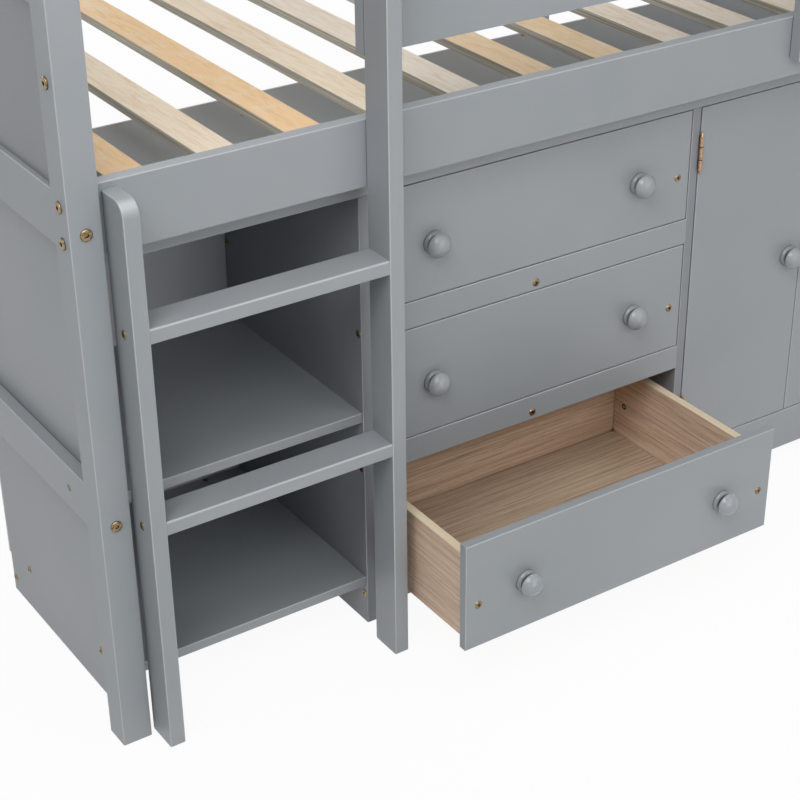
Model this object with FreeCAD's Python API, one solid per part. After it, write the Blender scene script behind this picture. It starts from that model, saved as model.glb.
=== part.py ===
import FreeCAD, Part
import math
import os

from FreeCAD import Vector

# A low loft bed with a bookcase, a chest of drawers and a two-door cabinet underneath.
# Sizes are millimetres. X runs along the bed from the ladder end, Y from the front
# to the back and Z up from the floor. The bottom drawer stands open, all else is shut.

# Bed frame
bed_length = 2012.0
bed_width = 1470.0
post_side = 55.0
frame_board = 25.0
post_rise = 13.0
edge_round = 2.5
panel_edge_round = 2.0
fit_gap = 0.3
overrun = 4.0

# Side rails, slats and the ledgers that carry them
rail_clearance = 21.0
rail_height = 120.0
slat_count = 11
slat_width = 70.0
slat_thickness = 17.5
slat_end_inset = 132.5
slat_drop = 52.0
slat_end_gap = 2.0
ledger_side = 25.0
ledger_overhang = 2.5

# End rails and end panels
top_rail_height = 96.0
top_rail_drop = 8.0
top_rail_bolt_rise = 46.0
middle_rail_height = 96.0
lower_rail_top = 496.0
lower_rail_height = 86.0
end_panel_thickness = 9.0
end_panel_recess = 10.0
end_groove_depth = 8.0

# Guard boards and their uprights
guard_clearance = 106.0
guard_lower_height = 120.0
guard_gap = 60.0
guard_upper_height = 70.0
upright_end_inset = 443.0
upright_overlap = 82.0

# Upright planks
plank_width = 67.0
plank_thickness = 28.0

# Ladder
stile_depth = 69.0
stile_thickness = 29.0
stile_left = 65.0
stile_spread = 475.0
short_stile_drop = 12.0
stile_top_radius = 27.0
stile_foot_radius = 5.0
rung_top_shares = (0.441, 0.7807)
rung_thickness = 27.0
rung_setback = 1.5
rung_round = 4.0

# Case boards
case_board = 20.0
case_front = 65.0
case_depth = 500.0
case_height = 910.0
bookcase_width = 493.5
chest_width = 738.5
back_panel_thickness = 6.0
shelf_setback = 4.0
shelf_top = 465.5
bookcase_bottom_top = 105.0
foot_rail_lift = 15.5
bottom_rail_lift = 29.5
cabinet_floor_top = 124.5

# Drawers: three equal openings with a stretcher between them
chest_rail_top = 101.0
stretcher_height = 52.5
front_gap = 2.0
front_thickness = 18.0
box_inset = 19.0
drawer_side_thickness = 18.0
drawer_side_drop = 40.0
drawer_side_rise = 2.0
drawer_back_clearance = 32.0
drawer_back_thickness = 12.0
drawer_back_drop = 6.0
drawer_bottom_thickness = 5.0
drawer_bottom_rise = 17.0
drawer_groove_depth = 6.0
drawer_open = 295.0
runner_height = 64.0
runner_rise = 9.0
guide_width = 60.0
guide_height = 15.0

# Doors and butt hinges
door_thickness = 18.0
hinge_gap = 3.0
hinge_leaf = 1.0
hinge_leaf_depth = 16.0
knuckle_radius = 4.3
knuckle_length = 21.0
middle_knuckle_length = 26.0
knuckle_gap = 0.7
pin_radius = 1.95
pin_play = 0.05
finial_base_radius = 4.0
finial_tip_radius = 2.6
finial_taper = 5.8
hinge_rise = 56.0

# Turned knobs
knob_base_radius = 22.5
knob_base_thickness = 3.0
knob_neck_radius = 13.0
knob_neck_height = 10.5
knob_cap_radius = 24.0
knob_cap_height = 15.0
knob_rim_round = 5.0
knob_projection = 36.0
bead_out_share = 0.72
bead_up_share = 0.62
cove_share = 0.35
drawer_knob_inset = 130.0
drawer_knob_shift = 4.0
drawer_knob_drop = 8.0
door_knob_inset = 37.0

# Frame bolts, barrel nuts and wood screws
bolt_radius = 3.0
bolt_head_radius = 10.3
bolt_head_height = 3.0
bolt_head_round = 2.0
socket_radius = 4.0
socket_depth = 2.0
bolt_end = 8.0
nut_radius = 7.0
nut_length = 18.0
rail_nut_reach = 46.0
end_nut_reach = 101.0
screw_head_radius = 6.6
screw_head_height = 3.6
screw_radius = 2.4
screw_length = 42.0
front_screw_drop = 20.0
stretcher_screw_rise = 15.5
shelf_screw_inset = 92.0
foot_screw_inset = 84.0
top_screw_inset = 40.0

# Places worked out from the sizes above
X_AXIS = Vector(1, 0, 0)
Y_AXIS = Vector(0, 1, 0)
Z_AXIS = Vector(0, 0, 1)
parallel_share = 0.999
rail_front = (post_side - frame_board) / 2
rail_back = rail_front + frame_board
panel_outer = rail_front + end_panel_recess
post_middle = post_side / 2
far_post = bed_length - post_side
back_post = bed_width - post_side
rail_bottom = case_height + rail_clearance
rail_top = rail_bottom + rail_height
guard_lower_bottom = rail_top + guard_clearance
guard_lower_top = guard_lower_bottom + guard_lower_height
guard_upper_bottom = guard_lower_top + guard_gap
guard_upper_top = guard_upper_bottom + guard_upper_height
post_height = guard_upper_top + post_rise
top_rail_top = post_height - top_rail_drop
top_rail_bottom = top_rail_top - top_rail_height
middle_rail_bottom = rail_bottom
middle_rail_top = middle_rail_bottom + middle_rail_height
lower_rail_bottom = lower_rail_top - lower_rail_height
stile_front = rail_front - stile_depth
tall_stile = stile_left + stile_spread
short_stile_height = rail_top - short_stile_drop
rung_tops = [rail_top * share for share in rung_top_shares]
upright_left = bed_length - upright_end_inset - plank_width
upright_bottom = rail_top - upright_overlap
slat_top = rail_top - slat_drop
slat_bottom = slat_top - slat_thickness
slat_pitch = (bed_length - 2 * slat_end_inset - slat_width) / (slat_count - 1)
ledger_end_inset = slat_end_inset - ledger_overhang
case_left = rail_back
case_right = bed_length - rail_back
case_back = case_front + case_depth
case_rear_rail = case_back - case_board
case_top_underside = case_height - case_board
bookcase_divider_left = case_left + case_board + bookcase_width
cabinet_divider_left = bookcase_divider_left + case_board + chest_width
drawer_bay = (bookcase_divider_left + case_board, cabinet_divider_left)
cabinet_bay = (cabinet_divider_left + case_board, case_right - case_board)
drawer_middle = sum(drawer_bay) / 2
door_meeting = sum(cabinet_bay) / 2
drawer_opening_height = (case_top_underside - chest_rail_top - 2 * stretcher_height) / 3
drawer_side_height = drawer_opening_height - 2 * front_gap - drawer_side_rise - drawer_side_drop
drawer_depth = case_depth - case_board - front_thickness - drawer_back_clearance
opening_pitch = drawer_opening_height + stretcher_height
opening_floors = [case_top_underside - drawer_opening_height - opening_pitch * step for step in range(3)]
door_bottom = cabinet_floor_top + front_gap
door_top = case_top_underside - front_gap
hinge_axis_y = case_front - knuckle_radius - fit_gap
hinge_height = 2 * knuckle_length + middle_knuckle_length + 2 * knuckle_gap
front_most = case_front - drawer_open - knob_projection
back_most = bed_width - rail_front + plank_thickness
origin = Vector(bed_length / 2, (front_most + back_most) / 2, 0)

pieces = {}
holes = {}


def block(x, y, z):
    """A box between the low and high values of each axis."""
    return Part.makeBox(x[1] - x[0], y[1] - y[0], z[1] - z[0], Vector(x[0], y[0], z[0]))


def runs_along(edge, axis):
    run = edge.Vertexes[-1].Point.sub(edge.Vertexes[0].Point)
    return abs(run.dot(axis)) > parallel_share * run.Length


def eased(shape, axis, radius=edge_round):
    """The shape with its straight edges along one axis rounded over."""
    return shape.makeFillet(radius, [edge for edge in shape.Edges if runs_along(edge, axis)])


def plank(x, y, z, axis, radius=edge_round):
    return eased(block(x, y, z), axis, radius)


def placed(shape, point, direction):
    """A copy of a shape made along +Z, standing at a point along a direction."""
    copy = shape.copy()
    copy.Placement = FreeCAD.Placement(point, FreeCAD.Rotation(Z_AXIS, direction))
    return copy


def spun(points_and_arcs):
    """A solid of revolution about Z from a half outline in the XZ plane."""
    wire = Part.Wire([piece.toShape() for piece in points_and_arcs])
    return Part.Face(wire).revolve(Vector(), Z_AXIS, 360)


def drill(name, tool):
    holes.setdefault(name, []).append(tool)


def mirrored_x(shape):
    return shape.mirror(Vector(bed_length / 2, 0, 0), X_AXIS)


def mirrored_y(shape):
    return shape.mirror(Vector(0, bed_width / 2, 0), Y_AXIS)


# Posts with grooves for the end panels
def post():
    """The front left post, rounded along its length and over its top."""
    body = block((0, post_side), (0, post_side), (0, post_height))
    body = body.makeFillet(edge_round, [edge for edge in body.Edges if edge.CenterOfMass.z > edge_round])
    groove = block(
        (panel_outer - fit_gap, panel_outer + end_panel_thickness + fit_gap),
        (post_side - end_groove_depth - fit_gap, post_side + overrun),
        (middle_rail_top - end_groove_depth, top_rail_bottom + end_groove_depth),
    )
    return body.cut(groove)


def bed_frame():
    corner = post()
    pieces["post_front_left"] = [corner]
    pieces["post_front_right"] = [mirrored_x(corner)]
    pieces["post_back_left"] = [mirrored_y(corner)]
    pieces["post_back_right"] = [mirrored_x(mirrored_y(corner))]
    rail = plank((post_side, far_post), (rail_front, rail_back), (rail_bottom, rail_top), X_AXIS)
    pieces["side_rail_front"] = [rail]
    pieces["side_rail_back"] = [mirrored_y(rail)]
    ledger = block(
        (ledger_end_inset, bed_length - ledger_end_inset),
        (rail_back, rail_back + ledger_side),
        (slat_bottom - ledger_side, slat_bottom),
    )
    pieces["slat_ledgers"] = [ledger, mirrored_y(ledger)]
    slats = []
    for number in range(slat_count):
        left = slat_end_inset + slat_pitch * number
        slats.append(
            plank(
                (left, left + slat_width),
                (rail_back + slat_end_gap, bed_width - rail_back - slat_end_gap),
                (slat_bottom, slat_top),
                Y_AXIS,
                panel_edge_round,
            )
        )
    pieces["slats"] = slats


def end_frames():
    """Three rails and a panel between each pair of posts."""
    between = (post_side, back_post)
    across = (rail_front, rail_back)
    panel_z = (middle_rail_top - end_groove_depth + fit_gap, top_rail_bottom + end_groove_depth - fit_gap)
    groove = block(
        (panel_outer - fit_gap, panel_outer + end_panel_thickness + fit_gap),
        (post_side - overrun, back_post + overrun),
        (middle_rail_top - end_groove_depth, top_rail_bottom + end_groove_depth),
    )
    rails = [
        plank(across, between, (top_rail_bottom, top_rail_top), Y_AXIS).cut(groove),
        plank(across, between, (middle_rail_bottom, middle_rail_top), Y_AXIS).cut(groove),
        plank(across, between, (lower_rail_bottom, lower_rail_top), Y_AXIS),
    ]
    panel = block(
        (panel_outer, panel_outer + end_panel_thickness),
        (post_side - end_groove_depth, back_post + end_groove_depth),
        panel_z,
    )
    pieces["end_rails_left"] = rails
    pieces["end_rails_right"] = [mirrored_x(rail) for rail in rails]
    pieces["end_panel_left"] = [panel]
    pieces["end_panel_right"] = [mirrored_x(panel)]


def guards():
    across = (rail_front, rail_back)
    levels = ((guard_lower_bottom, guard_lower_top), (guard_upper_bottom, guard_upper_top))
    front = [plank((tall_stile, far_post), across, level, X_AXIS) for level in levels]
    back = [mirrored_y(plank((post_side, far_post), across, level, X_AXIS)) for level in levels]
    upright = plank(
        (upright_left, upright_left + plank_width),
        (rail_front - plank_thickness, rail_front),
        (upright_bottom, guard_upper_top),
        Z_AXIS,
    )
    pieces["guard_board_front_lower"] = [front[0]]
    pieces["guard_board_front_upper"] = [front[1]]
    pieces["guard_boards_back"] = back
    pieces["guard_upright_front"] = [upright]
    pieces["guard_uprights_back"] = [mirrored_y(upright), mirrored_x(mirrored_y(upright))]


# Ladder
def stile(left, height):
    """A plank on edge, with a big round at its top front corner and small ones at its foot."""
    front, top = Vector(0, stile_front, 0), Vector(0, 0, height)
    body = block((left, left + stile_thickness), (stile_front, rail_front), (0, height))
    crown = [
        edge
        for edge in body.Edges
        if runs_along(edge, X_AXIS)
        and edge.CenterOfMass.y < front.y + edge_round
        and edge.CenterOfMass.z > top.z - edge_round
    ]
    body = body.makeFillet(stile_top_radius, crown)
    feet = [edge for edge in body.Edges if runs_along(edge, X_AXIS) and edge.CenterOfMass.z < edge_round]
    body = body.makeFillet(stile_foot_radius, feet)
    return eased(body, Z_AXIS)


def ladder():
    pieces["ladder_stile_left"] = [stile(stile_left, short_stile_height)]
    pieces["ladder_stile_right"] = [stile(tall_stile, guard_upper_top)]
    rungs = []
    for top in rung_tops:
        rungs.append(
            plank(
                (stile_left + stile_thickness, tall_stile),
                (stile_front + rung_setback, rail_front - rung_setback),
                (top - rung_thickness, top),
                X_AXIS,
                rung_round,
            )
        )
    pieces["ladder_rungs"] = rungs


# Case under the bed
def case():
    full = (case_front, case_back)
    upright = (0, case_top_underside)
    lefts = {
        "case_side_left": case_left,
        "bookcase_divider": bookcase_divider_left,
        "cabinet_divider": cabinet_divider_left,
        "case_side_right": case_right - case_board,
    }
    for name, left in lefts.items():
        pieces[name] = [plank((left, left + case_board), full, upright, Z_AXIS, panel_edge_round)]
    top_z = (case_top_underside, case_height)
    pieces["case_top"] = [plank((case_left, case_right), full, top_z, X_AXIS, panel_edge_round)]
    bookcase = (case_left + case_board, bookcase_divider_left)
    shelf_y = (case_front + shelf_setback, case_back)
    for name, top in (("bookcase_shelf", shelf_top), ("bookcase_bottom", bookcase_bottom_top)):
        pieces[name] = [plank(bookcase, shelf_y, (top - case_board, top), X_AXIS, panel_edge_round)]
    pieces["case_back"] = [
        block(
            (case_left, case_right),
            (case_back, case_back + back_panel_thickness),
            (bookcase_bottom_top - case_board, top_z[1]),
        )
    ]
    front = (case_front, case_front + case_board)
    pieces["drawer_stretchers"] = [
        plank(drawer_bay, front, (floor - stretcher_height, floor), X_AXIS, panel_edge_round)
        for floor in opening_floors[:-1]
    ]
    lowest = (bottom_rail_lift, opening_floors[-1])
    pieces["chest_bottom_rail"] = [plank(drawer_bay, front, lowest, X_AXIS, panel_edge_round)]
    cabinet_rail = (bottom_rail_lift, cabinet_floor_top)
    pieces["cabinet_bottom_rail"] = [plank(cabinet_bay, front, cabinet_rail, X_AXIS, panel_edge_round)]
    pieces["cabinet_floor"] = [
        block(cabinet_bay, (front[1], case_back), (cabinet_floor_top - case_board, cabinet_floor_top))
    ]
    rear = (case_rear_rail, case_back)
    foot = (foot_rail_lift, bookcase_bottom_top - case_board)
    under_top = (case_top_underside - stretcher_height, case_top_underside)
    rails = [block(bookcase, rear, foot), block(drawer_bay, rear, under_top)]
    runners = []
    for floor in opening_floors:
        rails.append(block(drawer_bay, rear, (floor - stretcher_height, floor)))
        runners.append(
            block(
                (drawer_middle - case_board / 2, drawer_middle + case_board / 2),
                (front[1], rear[0]),
                (floor + front_gap + runner_rise - runner_height, floor + front_gap + runner_rise),
            )
        )
    pieces["case_back_rails"] = rails
    pieces["drawer_runners"] = runners


# Knobs
def knob():
    """A turned knob standing along +Z, seated at Z zero: a beaded base, a coved neck and a domed cap."""
    foot = Vector(knob_base_radius, 0, 0)
    base_edge = Vector(knob_base_radius, 0, knob_base_thickness)
    neck = Vector(knob_neck_radius, 0, knob_neck_height)
    under_rim = Vector(knob_cap_radius - knob_rim_round, 0, knob_cap_height)
    rim = Vector(knob_cap_radius, 0, knob_cap_height + knob_rim_round)
    tip = Vector(0, 0, knob_projection)
    on_bead = Vector(
        knob_neck_radius + (knob_base_radius - knob_neck_radius) * bead_out_share,
        0,
        knob_base_thickness + (knob_neck_height - knob_base_thickness) * bead_up_share,
    )
    on_cove = Vector(
        knob_neck_radius + (under_rim.x - knob_neck_radius) * cove_share,
        0,
        knob_neck_height + (knob_cap_height - knob_neck_height) * (1 - cove_share),
    )
    quarter = math.sqrt(0.5)
    on_rim = Vector(under_rim.x + knob_rim_round * quarter, 0, rim.z - knob_rim_round * quarter)
    rise = tip.z - rim.z
    dome_radius = (rim.x ** 2 + rise ** 2) / (2 * rise)
    half_turn = math.asin(rim.x / dome_radius) / 2
    on_dome = Vector(
        dome_radius * math.sin(half_turn), 0, tip.z - dome_radius * (1 - math.cos(half_turn))
    )
    return spun(
        [
            Part.LineSegment(Vector(), foot),
            Part.LineSegment(foot, base_edge),
            Part.Arc(base_edge, on_bead, neck),
            Part.Arc(neck, on_cove, under_rim),
            Part.Arc(under_rim, on_rim, rim),
            Part.Arc(rim, on_dome, tip),
            Part.LineSegment(tip, Vector()),
        ]
    )


# Drawers
def drawer(name, floor, slid):
    """One drawer, pulled forward by the given amount."""
    turned = knob()
    low = floor + front_gap
    high = floor + drawer_opening_height - front_gap
    front_x = (drawer_bay[0] + front_gap, drawer_bay[1] - front_gap)
    face = case_front - slid
    front_y = (face, face + front_thickness)
    box_y = (front_y[1], face + front_thickness + drawer_depth)
    side_z = (low + drawer_side_rise, low + drawer_side_rise + drawer_side_height)
    left_side = (front_x[0] + box_inset, front_x[0] + box_inset + drawer_side_thickness)
    right_side = (front_x[1] - box_inset - drawer_side_thickness, front_x[1] - box_inset)
    inside = (left_side[1], right_side[0])
    bottom_z = (side_z[0] + drawer_bottom_rise, side_z[0] + drawer_bottom_rise + drawer_bottom_thickness)
    bottom = block(
        (inside[0] - drawer_groove_depth + fit_gap, inside[1] + drawer_groove_depth - fit_gap),
        (front_y[1] - drawer_groove_depth + fit_gap, box_y[1]),
        bottom_z,
    )
    groove = block(
        (inside[0] - drawer_groove_depth, inside[1] + drawer_groove_depth),
        (front_y[1] - drawer_groove_depth, box_y[1] + overrun),
        bottom_z,
    )
    front = block(front_x, front_y, (low, high))
    rim = [edge for edge in front.Edges if edge.CenterOfMass.y < front_y[0] + panel_edge_round / 2]
    front = front.makeFillet(panel_edge_round, rim)
    sides = [plank(x, box_y, side_z, Y_AXIS, panel_edge_round).cut(groove) for x in (left_side, right_side)]
    back_y = (box_y[1] - drawer_back_thickness, box_y[1])
    back = block(inside, back_y, (bottom_z[1], side_z[1] - drawer_back_drop))
    guide_x = (drawer_middle - guide_width / 2, drawer_middle + guide_width / 2)
    guide = block(guide_x, box_y, (bottom_z[0] - guide_height, bottom_z[0]))
    runner_top = floor + front_gap + runner_rise
    slot = block(
        (drawer_middle - case_board / 2 - fit_gap, drawer_middle + case_board / 2 + fit_gap),
        (box_y[0] - overrun, box_y[1] + overrun),
        (bottom_z[0] - guide_height - overrun, runner_top + fit_gap),
    )
    pieces[name + "_front"] = [front.cut(groove)]
    pieces[name + "_box"] = sides + [back, guide.cut(slot)]
    pieces[name + "_bottom"] = [bottom]
    middle = (low + high) / 2
    pieces[name + "_knobs"] = [
        placed(turned, Vector(knob_x + drawer_knob_shift, face, middle - drawer_knob_drop), -Y_AXIS)
        for knob_x in (front_x[0] + drawer_knob_inset, front_x[1] - drawer_knob_inset)
    ]
    screws = []
    for side in (left_side, right_side):
        fastener = screw(Vector(sum(side) / 2, face, middle - front_screw_drop), Y_AXIS)
        screws.append(fastener)
        drill(name + "_front", fastener)
        drill(name + "_box", fastener)
    pieces[name + "_screws"] = screws


# Doors on three-knuckle butt hinges
def hinge_middles():
    half = hinge_height / 2
    return (door_bottom + hinge_rise + half, door_top - hinge_rise - half)


def knuckle(x, low, high):
    return Part.makeCylinder(knuckle_radius, high - low, Vector(x, hinge_axis_y, low))


def finial():
    """The tapered tip of a hinge pin along +Z, with a round end."""
    base = Vector(finial_base_radius, 0, 0)
    shoulder = Vector(finial_tip_radius, 0, finial_taper)
    quarter = finial_tip_radius * math.sqrt(0.5)
    tip = Vector(0, 0, finial_taper + finial_tip_radius)
    return spun(
        [
            Part.LineSegment(Vector(), base),
            Part.LineSegment(base, shoulder),
            Part.Arc(shoulder, Vector(quarter, 0, finial_taper + quarter), tip),
            Part.LineSegment(tip, Vector()),
        ]
    )


def left_hinge(middle):
    """The fixed leaf, the door's leaf and the pin of a hinge on the left door."""
    axis_x = cabinet_bay[0] + hinge_gap / 2
    low = middle - hinge_height / 2
    high = middle + hinge_height / 2
    inner = (low + knuckle_length, high - knuckle_length)
    leaf_y = (hinge_axis_y, case_front + hinge_leaf_depth)
    fixed_x = (cabinet_bay[0], cabinet_bay[0] + hinge_leaf)
    moving_x = (cabinet_bay[0] + hinge_gap - hinge_leaf, cabinet_bay[0] + hinge_gap)
    room = knuckle_radius + fit_gap
    bore = Part.makeCylinder(
        pin_radius + pin_play, hinge_height + 2 * overrun, Vector(axis_x, hinge_axis_y, low - overrun)
    )
    middle_room = Part.makeCylinder(room, inner[1] - inner[0], Vector(axis_x, hinge_axis_y, inner[0]))
    fixed = block(fixed_x, leaf_y, (low, high)).cut(middle_room)
    for span in ((low, inner[0]), (inner[1], high)):
        fixed = fixed.fuse(knuckle(axis_x, *span))
    own = (inner[0] + knuckle_gap, inner[1] - knuckle_gap)
    moving = block(moving_x, leaf_y, (low, high))
    for span in ((low - overrun, own[0]), (own[1], high + overrun)):
        tool = Part.makeCylinder(room, span[1] - span[0], Vector(axis_x, hinge_axis_y, span[0]))
        moving = moving.cut(tool)
    moving = moving.fuse(knuckle(axis_x, *own))
    pin = Part.makeCylinder(pin_radius, hinge_height, Vector(axis_x, hinge_axis_y, low))
    for end, direction in ((low, -Z_AXIS), (high, Z_AXIS)):
        pin = pin.fuse(placed(finial(), Vector(axis_x, hinge_axis_y, end), direction))
    return fixed.cut(bore).removeSplitter(), moving.cut(bore).removeSplitter(), pin.removeSplitter()


def mirrored_cabinet(shape):
    return shape.mirror(Vector(door_meeting, 0, 0), X_AXIS)


def doors():
    turned = knob()
    slab = block(
        (cabinet_bay[0] + hinge_gap, door_meeting - front_gap / 2),
        (case_front, case_front + door_thickness),
        (door_bottom, door_top),
    )
    rim = [edge for edge in slab.Edges if edge.CenterOfMass.y < case_front + panel_edge_round / 2]
    left = slab.makeFillet(panel_edge_round, rim)
    knob_at = Vector(door_meeting - door_knob_inset, case_front, (door_bottom + door_top) / 2)
    handle = placed(turned, knob_at, -Y_AXIS)
    hinges = [left_hinge(middle) for middle in hinge_middles()]
    fixed = [hinge[0] for hinge in hinges]
    moving = [hinge[1] for hinge in hinges]
    pins = [hinge[2] for hinge in hinges]
    pieces["door_left"] = [left]
    pieces["door_left_knob"] = [handle]
    pieces["door_left_hinge_leaves"] = moving
    pieces["door_right"] = [mirrored_cabinet(left)]
    pieces["door_right_knob"] = [mirrored_cabinet(handle)]
    pieces["door_right_hinge_leaves"] = [mirrored_cabinet(leaf) for leaf in moving]
    pieces["hinge_leaves_fixed"] = fixed + [mirrored_cabinet(leaf) for leaf in fixed]
    pieces["hinge_pins"] = pins + [mirrored_cabinet(pin) for pin in pins]


# Fasteners
def bolt_shape(length):
    """A low-headed bolt along +Z with its head's seat at Z zero and a hexagon socket."""
    head = Part.makeCylinder(bolt_head_radius, bolt_head_height, Vector(0, 0, -bolt_head_height))
    crown = [edge for edge in head.Edges if edge.CenterOfMass.z < -bolt_head_height / 2 and len(edge.Vertexes) == 1]
    head = head.makeFillet(bolt_head_round, crown)
    turns = [2 * math.pi * corner / 6 for corner in range(7)]
    corners = [
        Vector(socket_radius * math.cos(turn), socket_radius * math.sin(turn), -bolt_head_height) for turn in turns
    ]
    socket = Part.Face(Part.makePolygon(corners)).extrude(Vector(0, 0, socket_depth))
    return head.cut(socket).fuse(Part.makeCylinder(bolt_radius, length)).removeSplitter()


def bolted(post_name, board_name, seat, direction, reach, nut_side):
    """A bolt through a post into a barrel nut that lies across the board's end."""
    bolt = placed(bolt_shape(post_side + reach + bolt_end), seat, direction)
    crossing = seat + direction * (post_side + reach)
    from_face = frame_board / 2
    nut = placed(Part.makeCylinder(nut_radius, nut_length), crossing + nut_side * from_face, -nut_side)
    pieces.setdefault("frame_bolts", []).append(bolt)
    pieces.setdefault("barrel_nuts", []).append(nut.cut(bolt))
    drill(post_name, bolt)
    drill(board_name, bolt)
    drill(board_name, nut)


def frame_fasteners():
    rail_bolts = [rail_bottom + rail_height / 4, rail_top - rail_height / 4]
    lower_guard = (guard_lower_bottom + guard_lower_top) / 2
    upper_guard = (guard_upper_bottom + guard_upper_top) / 2
    front_y = post_middle
    back_y = bed_width - post_middle
    for end_x, direction, side in ((0, X_AXIS, "left"), (bed_length, -X_AXIS, "right")):
        for height in rail_bolts:
            front_seat = Vector(end_x, front_y, height)
            back_seat = Vector(end_x, back_y, height)
            bolted("post_front_" + side, "side_rail_front", front_seat, direction, rail_nut_reach, Y_AXIS)
            bolted("post_back_" + side, "side_rail_back", back_seat, direction, rail_nut_reach, -Y_AXIS)
        for height in (lower_guard, upper_guard):
            back_seat = Vector(end_x, back_y, height)
            bolted("post_back_" + side, "guard_boards_back", back_seat, direction, rail_nut_reach, -Y_AXIS)
    for height, board in ((lower_guard, "guard_board_front_lower"), (upper_guard, "guard_board_front_upper")):
        seat = Vector(bed_length, front_y, height)
        bolted("post_front_right", board, seat, -X_AXIS, rail_nut_reach, Y_AXIS)
        spare = placed(bolt_shape(post_side - bolt_end), Vector(0, front_y, height), X_AXIS)
        pieces["frame_bolts"].append(spare)
        drill("post_front_left", spare)
    end_levels = (
        (top_rail_bottom + top_rail_bolt_rise, 1),
        (middle_rail_bottom + middle_rail_height / 2, 1),
        (lower_rail_bottom + lower_rail_height / 2, -1),
    )
    for seat_x, inward, side in ((post_middle, X_AXIS, "left"), (bed_length - post_middle, -X_AXIS, "right")):
        for height, nut_way in end_levels:
            for seat_y, direction, row in ((0, Y_AXIS, "front"), (bed_width, -Y_AXIS, "back")):
                seat = Vector(seat_x, seat_y, height)
                name = "post_" + row + "_" + side
                bolted(name, "end_rails_" + side, seat, direction, end_nut_reach, inward * nut_way)


def screw(seat, direction):
    """A countersunk wood screw with its head flush at the seat."""
    half = [
        Vector(),
        Vector(screw_head_radius, 0, 0),
        Vector(screw_radius, 0, screw_head_height),
        Vector(screw_radius, 0, screw_length),
        Vector(0, 0, screw_length),
    ]
    lines = [Part.LineSegment(start, end) for start, end in zip(half, half[1:] + half[:1])]
    return placed(spun(lines), seat, direction)


def wood_screws():
    screws = []

    def fix(seat, direction, *names):
        fastener = screw(seat, direction)
        screws.append(fastener)
        for name in names:
            drill(name, fastener)

    stile_y = (stile_front + rail_front) / 2
    for top in rung_tops:
        height = top - rung_thickness / 2
        fix(Vector(stile_left, stile_y, height), X_AXIS, "ladder_stile_left", "ladder_rungs")
        fix(Vector(tall_stile + stile_thickness, stile_y, height), -X_AXIS, "ladder_stile_right", "ladder_rungs")
    depths = (case_front + shelf_screw_inset, case_back - shelf_screw_inset)
    for name, top in (("bookcase_shelf", shelf_top), ("bookcase_bottom", bookcase_bottom_top)):
        for depth in depths:
            fix(Vector(case_left, depth, top - case_board / 2), X_AXIS, "case_side_left", name)
    rear_y = case_back - case_board / 2
    foot_z = foot_rail_lift + stretcher_screw_rise
    fix(Vector(case_left, rear_y, foot_z), X_AXIS, "case_side_left", "case_back_rails")
    bookcase_left = case_left + case_board
    for seat_x in (bookcase_left + foot_screw_inset, bookcase_divider_left - foot_screw_inset):
        seat = Vector(seat_x, rear_y, bookcase_bottom_top)
        fix(seat, -Z_AXIS, "bookcase_bottom", "case_back_rails")
    uprights = {
        "case_side_left": case_left,
        "bookcase_divider": bookcase_divider_left,
        "cabinet_divider": cabinet_divider_left,
        "case_side_right": case_right - case_board,
    }
    for name, left in uprights.items():
        for depth in depths:
            fix(Vector(left + case_board / 2, depth, case_height), -Z_AXIS, "case_top", name)
    for seat_x in (drawer_bay[0] + top_screw_inset, drawer_bay[1] - top_screw_inset):
        fix(Vector(seat_x, rear_y, case_height), -Z_AXIS, "case_top", "case_back_rails")
    front_y = case_front + case_board / 2
    rails = ("drawer_stretchers", "drawer_stretchers", "chest_bottom_rail")
    for floor, name in zip(opening_floors, rails):
        height = floor - stretcher_height + stretcher_screw_rise
        sides = (
            (bookcase_divider_left, X_AXIS, "bookcase_divider"),
            (cabinet_divider_left + case_board, -X_AXIS, "cabinet_divider"),
        )
        for face_x, direction, divider in sides:
            fix(Vector(face_x, front_y, height), direction, divider, name)
            fix(Vector(face_x, rear_y, height), direction, divider, "case_back_rails")
        fix(Vector(drawer_middle, case_front, height), Y_AXIS, name, "drawer_runners")
    pieces["wood_screws"] = screws


def finish():
    """Drill every board for its fasteners and write each node."""
    os.makedirs("parts", exist_ok=True)
    for name, solids in pieces.items():
        if name in holes:
            solids = [solid.cut(holes[name]) for solid in solids]
        solids = [solid for shape in solids for solid in shape.Solids]
        whole = solids[0] if len(solids) == 1 else Part.makeCompound(solids)
        whole = whole.copy()
        whole.translate(origin.negative())
        whole.exportStep(os.path.join("parts", name + ".step"))


bed_frame()
end_frames()
guards()
ladder()
case()
for label, bay_floor, pulled in zip(
    ("drawer_top", "drawer_middle", "drawer_lower"), opening_floors, (0, 0, drawer_open)
):
    drawer(label, bay_floor, pulled)
doors()
frame_fasteners()
wood_screws()
finish()
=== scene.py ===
"""Looks of the low loft bed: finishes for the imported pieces, screws, pins, light, floor and camera."""
import math

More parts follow.
